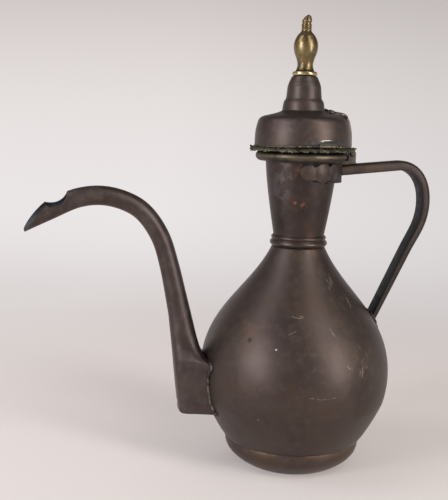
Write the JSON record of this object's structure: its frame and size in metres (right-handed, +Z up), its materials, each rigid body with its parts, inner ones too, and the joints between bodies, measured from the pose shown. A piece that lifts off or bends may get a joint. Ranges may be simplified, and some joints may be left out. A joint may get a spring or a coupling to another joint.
{
  "type": "ibrik ewer",
  "caption": "Pouring ewer with a round body on a pan foot, a flared neck, a tall arched spout, a bar handle and a hinged dome lid.",
  "frame": {"origin": "centre of the flat underside of the foot, on the table", "axes": "+Z up along the axis of the body and neck, +X towards the handle, -X towards the spout, +Y completes the right-handed frame"},
  "size_m": [0.2991, 0.1406, 0.33],
  "materials": {
    "patinated_copper": "dark brown patina, waxed satin",
    "handle_copper": "near-black brown patina, satin",
    "rim_brass": "olive-brown tarnished brass, rubbed satin",
    "aged_brass": "aged brass, smooth",
    "polished_brass": "bright turned brass",
    "pin_iron": "dark drawn wire"
  },
  "bodies": {
    "root": {"foot_pan": "patinated_copper", "body_shell": "patinated_copper", "neck_ring": "patinated_copper", "neck_tube": "patinated_copper", "rim_ring": "rim_brass", "spout_tube": "patinated_copper", "spout_sole": "patinated_copper", "handle_bar": "handle_copper", "neck_plate": "patinated_copper", "body_plate": "patinated_copper", "hinge_post": "handle_copper", "hinge_pin": "pin_iron"},
    "lid": {"lid_strap": "handle_copper", "lid_flange": "rim_brass", "lid_bezel": "patinated_copper", "lid_dome": "patinated_copper", "strap_rivet_side": "handle_copper", "strap_rivet_top": "handle_copper", "lid_turret": "patinated_copper", "finial_collar": "polished_brass", "finial": "aged_brass", "finial_rove": "aged_brass"}
  },
  "joints": [
    {"name": "lid_hinge", "type": "hinge", "parent": "root", "child": "lid", "pos_m": [0.03745, 0, 0.232], "axis": [0, 1, 0], "range_deg": [0, 100]}
  ]
}
